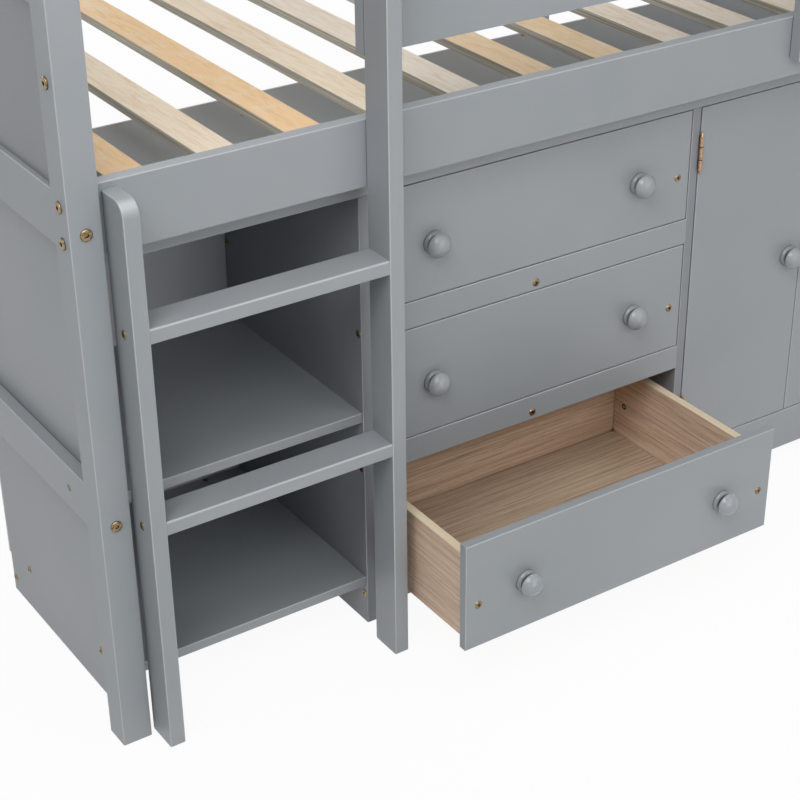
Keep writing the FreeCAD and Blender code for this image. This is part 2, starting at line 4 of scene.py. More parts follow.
import bmesh
import bpy
from mathutils import Euler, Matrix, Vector


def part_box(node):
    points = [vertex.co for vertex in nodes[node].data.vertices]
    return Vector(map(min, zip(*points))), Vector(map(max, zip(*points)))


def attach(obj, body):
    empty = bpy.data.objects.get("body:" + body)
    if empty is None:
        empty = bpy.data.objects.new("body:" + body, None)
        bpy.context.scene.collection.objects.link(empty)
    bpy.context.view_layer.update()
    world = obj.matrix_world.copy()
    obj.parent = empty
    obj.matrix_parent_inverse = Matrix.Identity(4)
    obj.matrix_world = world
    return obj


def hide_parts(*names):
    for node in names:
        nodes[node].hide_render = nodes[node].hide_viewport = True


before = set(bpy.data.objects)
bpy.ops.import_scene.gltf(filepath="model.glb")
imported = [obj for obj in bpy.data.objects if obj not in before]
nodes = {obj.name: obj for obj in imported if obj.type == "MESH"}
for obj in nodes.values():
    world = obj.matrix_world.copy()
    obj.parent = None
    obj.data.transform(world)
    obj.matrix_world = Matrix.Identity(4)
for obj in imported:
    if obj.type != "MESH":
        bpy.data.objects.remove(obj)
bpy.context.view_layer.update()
scene = bpy.context.scene

MM = 0.001
DRAWERS = ("drawer_top", "drawer_middle", "drawer_lower")
DOORS = ("door_left", "door_right")

# Sizes of the screws and pins in millimetres, with the radius of what is round
SCREW_HEAD = 6.6
SCREW_HEAD_DEPTH = 3.6
SCREW_SHANK = 2.4
SCREW_LENGTH = 42.0
SCREW_DOME = 7.9
SCREW_DOME_RISE = 2.2
RECESS_SPAN = 7.6
RECESS_WIDTH = 1.8
RECESS_DEPTH = 2.4
SIDE_SCREW_LENGTH = 15.0
SIDE_SCREW_INSET = 44.0
PIN_HEAD = 2.4
PIN_HEAD_DEPTH = 0.7
PIN_SHANK = 0.8
PIN_LENGTH = 16.0
PIN_STEP = 110.0
PIN_INSET = 9.5

# Height of the side screws as a share of the drawer box's height
SIDE_SCREW_RISE = 0.52

# Sides of the round forms, and the scale that keeps a shank's faces out of the head's faces
HEAD_SIDES = 28
DOME_RINGS = 10
SHANK_SIDES = 14
RECESS_SIDES = 8
PIN_HEAD_SIDES = 12
PIN_SHANK_SIDES = 8
SHANK_SHRINK = 0.98

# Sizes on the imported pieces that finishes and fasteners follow, millimetres
SIDE_BOARD = 18.0
HINGE_HEIGHT = 69.4
KNUCKLE_END = 21.35
# Half the width of a painted shade line between hinge knuckles
KNUCKLE_SHADE_HALF = 0.9

# Distances that count as close by and as one point, millimetres
NEAR = 1.0
SAME_POINT = 0.005

# Sizes of the patterns in millimetres: a spot's width, a streak's width and length, a ply's three sizes
PAINT_DRIFT = 380.0
PAINT_PEEL = 2.4
PAINT_RIDGES = (3.5, 160.0)
BOARD_DRIFT = 450.0
BOARD_PEEL = 2.0
BIRCH_FIGURE = (12.0, 120.0)
BIRCH_PATCHES = (26.0, 60.0)
BIRCH_PORES = (0.9, 12.0)
BIRCH_PLIES = (60.0, 420.0, 2.6)
PINE_LINES = (6.0, 320.0)
PINE_PORES = (1.0, 20.0)
FOIL_BANDS = (8.0, 500.0)
FOIL_LINES = (1.3, 150.0)
FOIL_FLECKS = (0.8, 22.0)
BOARD_CHIPS = 3.0
TARNISH_SPOTS = 4.0

# Parts of a noise's range: its busy middle, and nearly all of it
NOISE_MIDDLE = (0.35, 0.65)
NOISE_WIDE = (0.3, 0.7)

# How far a surface looks for others that shade it in millimetres, and the open air from shut to clear, for
# painted shade
JOINT_REACH = 10.0
JOINT_AIR = (0.14, 0.52)
COVE_REACH = 26.0
COVE_AIR = (0.20, 0.80)
CORNER_REACH = 12.0
CORNER_AIR = (0.30, 0.60)
RECESS_REACH = 4.0
RECESS_AIR = (0.40, 0.92)
AIR_SAMPLES = 8

# Least and most roughness of each finish
PAINT_ROUGH = (0.36, 0.45)
KNOB_ROUGH = (0.18, 0.27)
BOARD_ROUGH = (0.38, 0.47)
BIRCH_ROUGH = (0.52, 0.66)
PINE_ROUGH = (0.50, 0.62)
PLATE_ROUGH = (0.18, 0.36)
FOIL_ROUGHNESS = 0.5
PLATE_METALLIC = 0.85

# Strength of each relief, and its height in millimetres
PAINT_RELIEF = (0.12, 0.15)
BOARD_RELIEF = (0.10, 0.12)
BIRCH_RELIEF = (0.25, 0.15)
PINE_RELIEF = (0.2, 0.15)
FOIL_RELIEF = (0.06, 0.1)

# Colours of the grey paint, its paler edge tone of wear and painted highlight, the slats' veneers, and white
GREY_LIGHT = "#999DA1"
GREY_DARK = "#93989C"
GREY_WORN_HIGHLIT = "#C9CCCE"
VENEER_CREAM = "#F5E4CB"
VENEER_HONEY = "#F5D0A0"
VENEER_PALE = "#F5EADA"
VENEER_WARM = "#F1D6B0"
WHITE = "#FFFFFF"

# Where each veneer starts, as a share of the slats' way along the bed
SLAT_VENEERS = ((0.0, VENEER_HONEY), (0.055, VENEER_CREAM), (0.15, VENEER_HONEY), (0.25, VENEER_CREAM),
                (0.35, VENEER_PALE), (0.45, VENEER_WARM), (0.65, VENEER_PALE))

# Largest part of a surface's direction on one axis, flat to well rounded, and the share of edge wear and
# painted highlight
FLAT_TO_ROUND = (0.98, 0.80)
EDGE_WEAR_AND_HIGHLIGHT = 0.55

# Floor in metres, its drop in millimetres, the white that the eye sees on it and the light of the sky
FLOOR_HALF = 30.0
FLOOR_DROP = 0.5
FLOOR_WHITE = 0.94
SKY_LIGHT = 0.06
SKY_WHITE = 1.0

# Socket numbers of the colour version of the Mix node
MIX_A, MIX_B, MIX_OUT = 6, 7, 2


# Small tools

def linear(hex_text):
    """An sRGB hex colour as linear red, green, blue and alpha."""
    values = [int(hex_text[i:i + 2], 16) / 255 for i in (1, 3, 5)]
    return [v / 12.92 if v <= 0.04045 else ((v + 0.055) / 1.055) ** 2.4 for v in values] + [1.0]


def per_mm(size):
    """Pattern scale that makes one feature about this many millimetres wide."""
    return 1000.0 / size


def add(tree, kind, inputs=None, **settings):
    """Adds one node. An input is a value, another node's output, or several outputs."""
    made = tree.nodes.new(kind)
    for name, value in settings.items():
        setattr(made, name, value)
    for key, value in (inputs or {}).items():
        several = value if isinstance(value, list) else [value]
        if isinstance(several[0], bpy.types.NodeSocket):
            for output in several:
                tree.links.new(output, made.inputs[key])
        else:
            made.inputs[key].default_value = value
    return made


def new_finish(name):
    """A material with its tree, its shader and the object's own coordinates."""
    material = bpy.data.materials.new(name)
    material.use_nodes = True
    tree = material.node_tree
    place = add(tree, "ShaderNodeTexCoord")
    return material, tree, tree.nodes["Principled BSDF"], place


def streaks(tree, place, along, sizes, **noise):
    """Streaks of noise that run along one axis, from their width and length."""
    width, length = sizes
    scale = [per_mm(length if axis == along else width) for axis in "XYZ"]
    stretched = add(tree, "ShaderNodeMapping", {"Vector": place.outputs["Object"], "Scale": scale})
    settings = {"Vector": stretched.outputs["Vector"], "Scale": 1.0, **noise}
    return add(tree, "ShaderNodeTexNoise", settings).outputs["Fac"]


def layered(tree, under, over, pattern, between=(0.0, 1.0), most=1.0):
    """One tone over another, from none to most of it as a pattern goes between two values.
    A tone is a hex colour or another node's output."""
    under, over = (linear(tone) if isinstance(tone, str) else tone for tone in (under, over))
    share = add(tree, "ShaderNodeMapRange",
                {"Value": pattern, "From Min": between[0], "From Max": between[1], "To Max": most})
    mix = add(tree, "ShaderNodeMix",
              {"Factor": share.outputs["Result"], MIX_A: under, MIX_B: over}, data_type="RGBA")
    return mix.outputs[MIX_OUT]


def worn_and_highlit_edges(tree, place, tone):
    """The tone, paler on rounded edges, where the surface faces along no axis: partly wear, partly a painted
    highlight where edges catch light.
    """
    size = add(tree, "ShaderNodeVectorMath", {0: place.outputs["Normal"]}, operation="ABSOLUTE")
    parts = add(tree, "ShaderNodeSeparateXYZ", {"Vector": size.outputs["Vector"]})
    largest = add(tree, "ShaderNodeMath", {0: parts.outputs["X"], 1: parts.outputs["Y"]},
                  operation="MAXIMUM")
    largest = add(tree, "ShaderNodeMath", {0: largest.outputs["Value"], 1: parts.outputs["Z"]},
                  operation="MAXIMUM")
    # Paler edge tone: wear plus a painted highlight of edges catching light
    return layered(tree, tone, GREY_WORN_HIGHLIT, largest.outputs["Value"], FLAT_TO_ROUND, EDGE_WEAR_AND_HIGHLIGHT)


def painted_crevice_shade(tree, tone, dark, reach, air):
    """The tone with painted shade: darkened where surfaces within reach leave it little open air."""
    open_air = add(tree, "ShaderNodeAmbientOcclusion", {"Distance": reach * MM}, samples=AIR_SAMPLES)
    return layered(tree, dark, tone, open_air.outputs["AO"], air)


def dress(tree, shader, tone, gloss=None, rough=None, height=None, relief=None):
    """Joins a finish to its shader: the tone, a roughness that follows the gloss pattern from least to
    most, and a relief of a strength and a depth in millimetres that follows the height pattern."""
    tree.links.new(tone, shader.inputs["Base Color"])
    if rough:
        followed = add(tree, "ShaderNodeMapRange",
                       {"Value": gloss, "From Min": NOISE_WIDE[0], "From Max": NOISE_WIDE[1],
                        "To Min": rough[0], "To Max": rough[1]})
        tree.links.new(followed.outputs["Result"], shader.inputs["Roughness"])
    if relief:
        strength, depth = relief
        bump = add(tree, "ShaderNodeBump", {"Height": height, "Strength": strength, "Distance": depth * MM})
        tree.links.new(bump.outputs["Normal"], shader.inputs["Normal"])


# Finishes

def satin_grey_paint(name, along, turned=False):
    """Sprayed satin paint on planed wood: an even cool grey with a soft sheen, lighter on its edges from
    wear and a painted highlight, with painted shade in tight joints. Up close the coat shows a fine orange
    peel, and the grain under it as faint long ridges. A turned piece has a glossier coat, whole edges and
    painted shade in its cove."""
    material, tree, shader, place = new_finish(name)
    drift = add(tree, "ShaderNodeTexNoise",
                {"Vector": place.outputs["Object"], "Scale": per_mm(PAINT_DRIFT), "Detail": 2.0})
    peel = add(tree, "ShaderNodeTexNoise",
               {"Vector": place.outputs["Object"], "Scale": per_mm(PAINT_PEEL), "Detail": 2.0})
    ridges = streaks(tree, place, along, PAINT_RIDGES, Detail=3.0)
    tone = layered(tree, GREY_DARK, GREY_LIGHT, drift.outputs["Fac"], NOISE_MIDDLE)
    tone = layered(tree, tone, "#74777B", ridges, between=(0.62, 0.80), most=0.06)
    # Painted shade: in the cove of a turned piece, in tight joints on the rest
    if turned:
        tone = painted_crevice_shade(tree, tone, "#303134", COVE_REACH, COVE_AIR)
    else:
        tone = worn_and_highlit_edges(tree, place, tone)
        tone = painted_crevice_shade(tree, tone, "#1C1D1F", JOINT_REACH, JOINT_AIR)
    height = add(tree, "ShaderNodeMath", {0: ridges, 1: peel.outputs["Fac"]}, operation="ADD")
    dress(tree, shader, tone, peel.outputs["Fac"], KNOB_ROUGH if turned else PAINT_ROUGH,
          height.outputs["Value"], PAINT_RELIEF)
    return material


def sprayed_fibreboard(name, light=GREY_LIGHT, dark=GREY_DARK, rear=None):
    """Sprayed satin paint on sanded fibreboard: the same grey, with pale edges of wear and painted
    highlight, orange peel and no grain.
    Rear, where given, is the colour of the face towards the wall."""
    material, tree, shader, place = new_finish(name)
    drift = add(tree, "ShaderNodeTexNoise",
                {"Vector": place.outputs["Object"], "Scale": per_mm(BOARD_DRIFT), "Detail": 2.0})
    peel = add(tree, "ShaderNodeTexNoise",
               {"Vector": place.outputs["Object"], "Scale": per_mm(BOARD_PEEL), "Detail": 3.0})
    tone = layered(tree, dark, light, drift.outputs["Fac"], NOISE_MIDDLE)
    if rear:
        facing = add(tree, "ShaderNodeSeparateXYZ", {"Vector": place.outputs["Normal"]})
        tone = layered(tree, tone, rear, facing.outputs["Y"], between=(0.4, 0.6))
    tone = worn_and_highlit_edges(tree, place, tone)
    dress(tree, shader, tone, peel.outputs["Fac"], BOARD_ROUGH, peel.outputs["Fac"], BOARD_RELIEF)
    return material


def bare_birch_ply(name):
    """Bare birch plywood slats: face veneer in cream or honey with a soft figure, and short pores drawn
    coarser than real ones so that they show. The sawn edges show the plies as fine grey-brown stripes.
    Grain runs across the bed."""
    material, tree, shader, place = new_finish(name)
    low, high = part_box("slats")
    split = add(tree, "ShaderNodeSeparateXYZ", {"Vector": place.outputs["Object"]})
    along_bed = add(tree, "ShaderNodeMapRange",
                    {"Value": split.outputs["X"], "From Min": low.x, "From Max": high.x})
    veneers = add(tree, "ShaderNodeValToRGB", {"Fac": along_bed.outputs["Result"]})
    ramp = veneers.color_ramp
    ramp.interpolation = "CONSTANT"
    for element, (start, colour) in zip(ramp.elements, SLAT_VENEERS):
        element.position = start
        element.color = linear(colour)
    for start, colour in SLAT_VENEERS[2:]:
        ramp.elements.new(start).color = linear(colour)
    figure = streaks(tree, place, "Y", BIRCH_FIGURE, Detail=5.0, Distortion=1.6)
    patches = streaks(tree, place, "Y", BIRCH_PATCHES, Detail=3.0, Distortion=1.0)
    pores = streaks(tree, place, "Y", BIRCH_PORES, Detail=2.0)
    face = layered(tree, veneers.outputs["Color"], "#D3A670", figure, between=(0.46, 0.70), most=0.38)
    face = layered(tree, face, "#F6ECDB", patches, between=(0.50, 0.72), most=0.40)
    face = layered(tree, face, "#A57F52", pores, between=(0.58, 0.75), most=0.25)
    stacked = add(tree, "ShaderNodeMapping",
                  {"Vector": place.outputs["Object"], "Scale": [per_mm(size) for size in BIRCH_PLIES]})
    plies = add(tree, "ShaderNodeTexNoise",
                {"Vector": stacked.outputs["Vector"], "Scale": 1.0, "Detail": 3.0})
    edge = layered(tree, "#A69D8B", "#DDD5C7", plies.outputs["Fac"], between=(0.38, 0.62))
    facing = add(tree, "ShaderNodeSeparateXYZ", {"Vector": place.outputs["Normal"]})
    level = add(tree, "ShaderNodeMath", {0: facing.outputs["Z"]}, operation="ABSOLUTE")
    tone = layered(tree, edge, face, level.outputs["Value"], between=(0.55, 0.75))
    dress(tree, shader, tone, figure, BIRCH_ROUGH, pores, BIRCH_RELIEF)
    return material


def planed_pine(name, along):
    """Planed pine for the hidden runners and ledgers: pale yellow with darker growth lines, and pores drawn
    coarser than real ones so that they show."""
    material, tree, shader, place = new_finish(name)
    lines = streaks(tree, place, along, PINE_LINES, Detail=3.0, Distortion=0.8)
    pores = streaks(tree, place, along, PINE_PORES, Detail=2.0)
    tone = layered(tree, "#E3CDA4", "#C79C66", lines, between=(0.40, 0.68))
    tone = layered(tree, tone, "#A9814F", pores, between=(0.60, 0.78), most=0.3)
    dress(tree, shader, tone, lines, PINE_ROUGH, pores, PINE_RELIEF)
    return material


def wood_grain_foil(name, grains, light, warm, line):
    """Printed oak foil on particle board: bands of a light and a warm tone with fine dark lines and flecks
    along each board, drawn coarser than a real print so that they show. The side boards' upward-facing top
    edges take a pale chip-flecked tone, and inner corners get painted shade. Grains are the axis of a side
    board and of the rest."""
    material, tree, shader, place = new_finish(name)
    low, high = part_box("drawer_lower_box")
    split = add(tree, "ShaderNodeSeparateXYZ", {"Vector": place.outputs["Object"]})
    middle = (low.x + high.x) / 2
    off_centre = add(tree, "ShaderNodeMath", {0: split.outputs["X"], 1: middle}, operation="SUBTRACT")
    distance = add(tree, "ShaderNodeMath", {0: off_centre.outputs["Value"]}, operation="ABSOLUTE")
    inner = (high.x - low.x) / 2 - (SIDE_BOARD + NEAR) * MM
    on_side = add(tree, "ShaderNodeMath", {0: distance.outputs["Value"], 1: inner}, operation="GREATER_THAN")
    prints = []
    for along in grains:
        bands = streaks(tree, place, along, FOIL_BANDS, Detail=3.0, Distortion=0.4)
        lines = streaks(tree, place, along, FOIL_LINES, Detail=3.0, Roughness=0.55, Distortion=0.2)
        flecks = streaks(tree, place, along, FOIL_FLECKS, Detail=2.0)
        tone = layered(tree, warm, light, bands, NOISE_MIDDLE)
        tone = layered(tree, tone, line, lines, between=(0.50, 0.64), most=0.75)
        prints.append(layered(tree, tone, "#7B6250", flecks, between=(0.58, 0.72), most=0.36))
    printed = layered(tree, prints[1], prints[0], on_side.outputs["Value"])
    chips = add(tree, "ShaderNodeTexNoise",
                {"Vector": place.outputs["Object"], "Scale": per_mm(BOARD_CHIPS), "Detail": 3.0})
    # A pale chip-flecked tone on the side boards' upward-facing top edges
    top_edge_tone = layered(tree, "#DCC8A8", "#EADBC1", chips.outputs["Fac"])
    facing = add(tree, "ShaderNodeSeparateXYZ", {"Vector": place.outputs["Normal"]})
    on_top = add(tree, "ShaderNodeMath", {0: facing.outputs["Z"], 1: 0.6}, operation="GREATER_THAN")
    on_edge = add(tree, "ShaderNodeMath", {0: on_top.outputs["Value"], 1: on_side.outputs["Value"]},
                  operation="MULTIPLY")
    tone = layered(tree, printed, top_edge_tone, on_edge.outputs["Value"])
    # Painted shade in the box's inner corners
    tone = painted_crevice_shade(tree, tone, "#4A3A2E", CORNER_REACH, CORNER_AIR)
    shader.inputs["Roughness"].default_value = FOIL_ROUGHNESS
    dress(tree, shader, tone, height=chips.outputs["Fac"], relief=FOIL_RELIEF)
    return material


def plated_steel(name, bright, dull, knuckle_gap_shade=()):
    """Brass or yellow zinc plate on steel, a little tarnished: shiny, mottled where it has dulled, and with
    painted shade in its recesses. Knuckle gap shade gives the heights of thin painted shade lines round a
    hinge, in the gaps between its knuckles."""
    material, tree, shader, place = new_finish(name)
    tarnish = add(tree, "ShaderNodeTexNoise",
                  {"Vector": place.outputs["Object"], "Scale": per_mm(TARNISH_SPOTS), "Detail": 4.0})
    tone = layered(tree, bright, dull, tarnish.outputs["Fac"], between=(0.42, 0.68))
    # Painted shade in the recesses and round the rims of the heads
    tone = painted_crevice_shade(tree, tone, "#2A2018", RECESS_REACH, RECESS_AIR)
    split = add(tree, "ShaderNodeSeparateXYZ", {"Vector": place.outputs["Object"]})
    # Painted shade: a thin dark line at each height, in the gap between two knuckles
    for level in knuckle_gap_shade:
        on_line = add(tree, "ShaderNodeMath", {0: split.outputs["Z"], 1: level, 2: KNUCKLE_SHADE_HALF * MM},
                      operation="COMPARE")
        tone = layered(tree, tone, "#3A2A20", on_line.outputs["Value"])
    shader.inputs["Metallic"].default_value = PLATE_METALLIC
    dress(tree, shader, tone, tarnish.outputs["Fac"], PLATE_ROUGH)
    return material


paint_x = satin_grey_paint("satin grey paint on wood, grain along X", "X")
paint_y = satin_grey_paint("satin grey paint on wood, grain along Y", "Y")
paint_z = satin_grey_paint("satin grey paint on wood, grain along Z", "Z")
paint_knob = satin_grey_paint("satin grey paint on turned wood", "Y", turned=True)
paint_panel = sprayed_fibreboard("satin grey paint on fibreboard")
# Thin back panel: inner face painted paler as painted light; the face towards the wall keeps the common grey
paint_back_painted_light = sprayed_fibreboard("pale grey paint on thin fibreboard", "#C4C7CB", "#BCBFC3", rear="#969A9E")
# End panels and dividers: a darker copy of the grey paint, as painted shade
paint_darker_for_shade = sprayed_fibreboard("grey paint on fibreboard, painted darker for shade", "#888B90", "#82858A")
slat_wood = bare_birch_ply("bare birch plywood")
ledger_wood = planed_pine("planed pine, grain along X", "X")
runner_wood = planed_pine("planed pine, grain along Y", "Y")
box_foil = wood_grain_foil("oak foil on particle board", "YX", "#EAD0B8", "#D6B9A0", "#9C7C66")
bottom_foil = wood_grain_foil("oak foil on thin board", "XX", "#CDB9A2", "#B7A089", "#83695A")
brass = plated_steel("brass plate", "#9E8967", "#5A4936")
nut_plate = plated_steel("yellow zinc plate on barrel nuts", "#5E5636", "#2B2718")
# Heights of the thin painted shade lines in the gaps between the hinge's knuckles
hinge_low, hinge_high = (corner.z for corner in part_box("hinge_leaves_fixed"))
hinge_ends = (hinge_low, hinge_low + HINGE_HEIGHT * MM, hinge_high - HINGE_HEIGHT * MM, hinge_high)
knuckle_shade_lines = [end + way * KNUCKLE_END * MM for end, way in zip(hinge_ends, (1, -1, 1, -1))]
hinge_brass = plated_steel("rosy brass plate on hinges", "#BE9E80", "#8E715A", knuckle_shade_lines)

finishes = {
    paint_x: ["side_rail_front", "side_rail_back", "guard_board_front_lower", "guard_board_front_upper",
              "guard_boards_back", "ladder_rungs"],
    paint_y: ["end_rails_left", "end_rails_right"],
    paint_z: ["post_front_left", "post_front_right", "post_back_left", "post_back_right",
              "guard_upright_front", "guard_uprights_back", "ladder_stile_left", "ladder_stile_right"],
    paint_knob: [drawer + "_knobs" for drawer in DRAWERS] + [door + "_knob" for door in DOORS],
    paint_darker_for_shade: ["end_panel_left", "end_panel_right", "bookcase_divider", "cabinet_divider"],
    paint_panel: ["case_side_left", "case_side_right", "case_top", "bookcase_shelf", "bookcase_bottom",
                  "cabinet_floor", "drawer_stretchers", "chest_bottom_rail", "cabinet_bottom_rail",
                  "case_back_rails", *DOORS] + [drawer + "_front" for drawer in DRAWERS],
    paint_back_painted_light: ["case_back"],
    slat_wood: ["slats"],
    ledger_wood: ["slat_ledgers"],
    runner_wood: ["drawer_runners"],
    box_foil: [drawer + "_box" for drawer in DRAWERS],
    bottom_foil: [drawer + "_bottom" for drawer in DRAWERS],
    nut_plate: ["barrel_nuts"],
    brass: ["frame_bolts", "wood_screws"] + [drawer + "_screws" for drawer in DRAWERS],
    hinge_brass: ["hinge_leaves_fixed", "hinge_pins"] + [door + "_hinge_leaves" for door in DOORS],
}
for finish, names in finishes.items():
    for name in names:
        nodes[name].data.materials.clear()
        nodes[name].data.materials.append(finish)


# Screws and pins, repeated by Geometry Nodes

def new_tree(name, sizes):
    """A geometry tree with points, a material and one input for each size, which gives a mesh."""
    tree = bpy.data.node_groups.new(name, "GeometryNodeTree")
    tree.interface.new_socket("Mesh", in_out="OUTPUT", socket_type="NodeSocketGeometry")
    tree.interface.new_socket("Points", in_out="INPUT", socket_type="NodeSocketGeometry")
    tree.interface.new_socket("Finish", in_out="INPUT", socket_type="NodeSocketMaterial")
    for size in sizes:
        tree.interface.new_socket(size, in_out="INPUT", socket_type="NodeSocketFloat")
    return tree, add(tree, "NodeGroupInput").outputs


def repeat_at_points(tree, given, shape):
    """Puts a shape at each point, turned to the point's own direction, as one plain mesh."""
    direction = add(tree, "GeometryNodeInputNamedAttribute", {"Name": "into_wood"}, data_type="FLOAT_VECTOR")
    turn = add(tree, "FunctionNodeAlignRotationToVector", {"Vector": direction.outputs["Attribute"]},
               axis="Z")
    copies = add(tree, "GeometryNodeInstanceOnPoints",
                 {"Points": given["Points"], "Instance": shape, "Rotation": turn.outputs["Rotation"]})
    real = add(tree, "GeometryNodeRealizeInstances", {"Geometry": copies.outputs["Instances"]})
    coated = add(tree, "GeometryNodeSetMaterial",
                 {"Geometry": real.outputs["Geometry"], "Material": given["Finish"]})
    add(tree, "NodeGroupOutput", {"Mesh": coated.outputs["Geometry"]})


def sunk_shank(tree, given, sides, scale):
    """A round shank that runs from the seat into the wood."""
    half = add(tree, "ShaderNodeMath", {0: given["Length"], 1: 0.5}, operation="MULTIPLY")
    middle = add(tree, "ShaderNodeCombineXYZ", {"Z": half.outputs["Value"]})
    shank = add(tree, "GeometryNodeMeshCylinder",
                {"Vertices": sides, "Radius": given["Shank radius"], "Depth": given["Length"]})
    sunk = add(tree, "GeometryNodeTransform",
               {"Geometry": shank.outputs["Mesh"], "Translation": middle.outputs["Vector"], "Scale": scale})
    return sunk.outputs["Geometry"]


def cross_head_screws(name, domed):
    """Screws with a cross recess, sunk along each point's direction, with a flush or a low domed head."""
    tree, given = new_tree(name, ("Head radius", "Head depth", "Shank radius", "Length", "Recess span",
                                  "Recess width", "Recess depth", "Dome radius", "Dome rise"))
    head = add(tree, "GeometryNodeMeshCone",
               {"Vertices": HEAD_SIDES, "Radius Bottom": given["Head radius"],
                "Radius Top": given["Shank radius"], "Depth": given["Head depth"]})
    solids = [head.outputs["Mesh"], sunk_shank(tree, given, SHANK_SIDES, [SHANK_SHRINK] * 3)]
    if domed:
        ball = add(tree, "GeometryNodeMeshUVSphere",
                   {"Segments": HEAD_SIDES, "Rings": DOME_RINGS, "Radius": 1.0})
        size = add(tree, "ShaderNodeCombineXYZ",
                   {"X": given["Dome radius"], "Y": given["Dome radius"], "Z": given["Dome rise"]})
        dome = add(tree, "GeometryNodeTransform",
                   {"Geometry": ball.outputs["Mesh"], "Scale": size.outputs["Vector"]})
        solids.append(dome.outputs["Geometry"])
    whole = add(tree, "GeometryNodeMeshBoolean", {"Mesh 2": solids}, operation="UNION", solver="EXACT")
    both_ways = add(tree, "ShaderNodeMath", {0: given["Recess depth"], 1: 2.0}, operation="MULTIPLY")
    depth = both_ways.outputs["Value"]
    slot_sizes = (given["Recess span"], given["Recess width"])
    cutters = []
    for size_x, size_y in (slot_sizes, slot_sizes[::-1]):
        size = add(tree, "ShaderNodeCombineXYZ", {"X": size_x, "Y": size_y, "Z": depth})
        slot = add(tree, "GeometryNodeMeshCube", {"Size": size.outputs["Vector"]})
        cutters.append(slot.outputs["Mesh"])
    centre = add(tree, "GeometryNodeMeshCylinder",
                 {"Vertices": RECESS_SIDES, "Radius": given["Recess width"], "Depth": depth})
    cutters.append(centre.outputs["Mesh"])
    cut = add(tree, "GeometryNodeMeshBoolean", {"Mesh 1": whole.outputs["Mesh"], "Mesh 2": cutters},
              operation="DIFFERENCE", solver="EXACT")
    repeat_at_points(tree, given, cut.outputs["Mesh"])
    return tree


def flat_head_pins():
    """Small flat-headed pins whose heads stand just proud of the panel."""
    tree, given = new_tree("flat-head pins", ("Head radius", "Head depth", "Shank radius", "Length"))
    half = add(tree, "ShaderNodeMath", {0: given["Head radius"], 1: 0.5}, operation="MULTIPLY")
    head = add(tree, "GeometryNodeMeshCone",
               {"Vertices": PIN_HEAD_SIDES, "Radius Bottom": half.outputs["Value"],
                "Radius Top": given["Head radius"], "Depth": given["Head depth"]})
    outwards = add(tree, "ShaderNodeMath", {0: given["Head depth"], 1: -1.0}, operation="MULTIPLY")
    proud = add(tree, "ShaderNodeCombineXYZ", {"Z": outwards.outputs["Value"]})
    raised = add(tree, "GeometryNodeTransform",
                 {"Geometry": head.outputs["Mesh"], "Translation": proud.outputs["Vector"]})
    shank = sunk_shank(tree, given, PIN_SHANK_SIDES, [1.0, 1.0, SHANK_SHRINK])
    whole = add(tree, "GeometryNodeMeshBoolean", {"Mesh 2": [raised.outputs["Geometry"], shank]},
                operation="UNION", solver="EXACT")
    repeat_at_points(tree, given, whole.outputs["Mesh"])
    return tree


def fasteners(name, tree, places, sizes, body, stands_for=()):
    """Makes one mesh of fasteners at these places, riding on a body."""
    mesh = bpy.data.meshes.new(name)
    mesh.from_pydata([point for point, _ in places], [], [])
    directions = mesh.attributes.new("into_wood", "FLOAT_VECTOR", "POINT")
    directions.data.foreach_set("vector", [value for _, way in places for value in way])
    piece = bpy.data.objects.new(name, mesh)
    scene.collection.objects.link(piece)
    modifier = piece.modifiers.new("fasteners", "NODES")
    modifier.node_group = tree
    sockets = {item.name: item.identifier for item in tree.interface.items_tree if item.in_out == "INPUT"}
    modifier[sockets["Finish"]] = brass
    for size, value in sizes.items():
        modifier[sockets[size]] = value * MM
    seen = piece.evaluated_get(bpy.context.evaluated_depsgraph_get())
    finished = bpy.data.meshes.new_from_object(seen)
    piece.modifiers.clear()
    piece.data = finished
    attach(piece, body)
    if stands_for:
        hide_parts(*stands_for)


def screw_places(name):
    """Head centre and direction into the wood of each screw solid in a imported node."""
    solids = bmesh.new()
    solids.from_mesh(nodes[name].data)
    bmesh.ops.remove_doubles(solids, verts=solids.verts, dist=SAME_POINT * MM)
    waiting = set(solids.verts)
    places = []
    while waiting:
        edge_of_search = [waiting.pop()]
        solid = list(edge_of_search)
        while edge_of_search:
            for edge in edge_of_search.pop().link_edges:
                for vertex in edge.verts:
                    if vertex in waiting:
                        waiting.remove(vertex)
                        edge_of_search.append(vertex)
                        solid.append(vertex)
        points = [vertex.co.copy() for vertex in solid]
        low = Vector([min(point[i] for point in points) for i in range(3)])
        high = Vector([max(point[i] for point in points) for i in range(3)])
        middle = (low + high) / 2
        axis = max(range(3), key=lambda i: (high - low)[i])
        way = Vector([1.0 if i == axis else 0.0 for i in range(3)])
        wide = max(points, key=lambda point: (point - middle - way * (point - middle).dot(way)).length)
        head_at_low = wide[axis] < middle[axis]
        head = middle.copy()
        head[axis] = low[axis] if head_at_low else high[axis]
        places.append((head, way if head_at_low else -way))
    solids.free()
    return sorted(places, key=lambda place: tuple(place[0]))


# Places that tell which screw heads stand proud
front_of_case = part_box("case_top")[0].y + NEAR * MM
bookcase_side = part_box("bookcase_divider")[0].x + NEAR * MM
outer_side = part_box("case_side_left")[0].x + NEAR * MM
rail_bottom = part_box("end_rails_left")[0].z


def stands_proud(place):
    """True for heads on the ladder, the case front, the bookcase side and the outside under the end rail."""
    head, way = place
    open_side = head.x > outer_side or head.z < rail_bottom
    return head.y <= front_of_case or (way.x > 0 and head.x < bookcase_side and open_side)


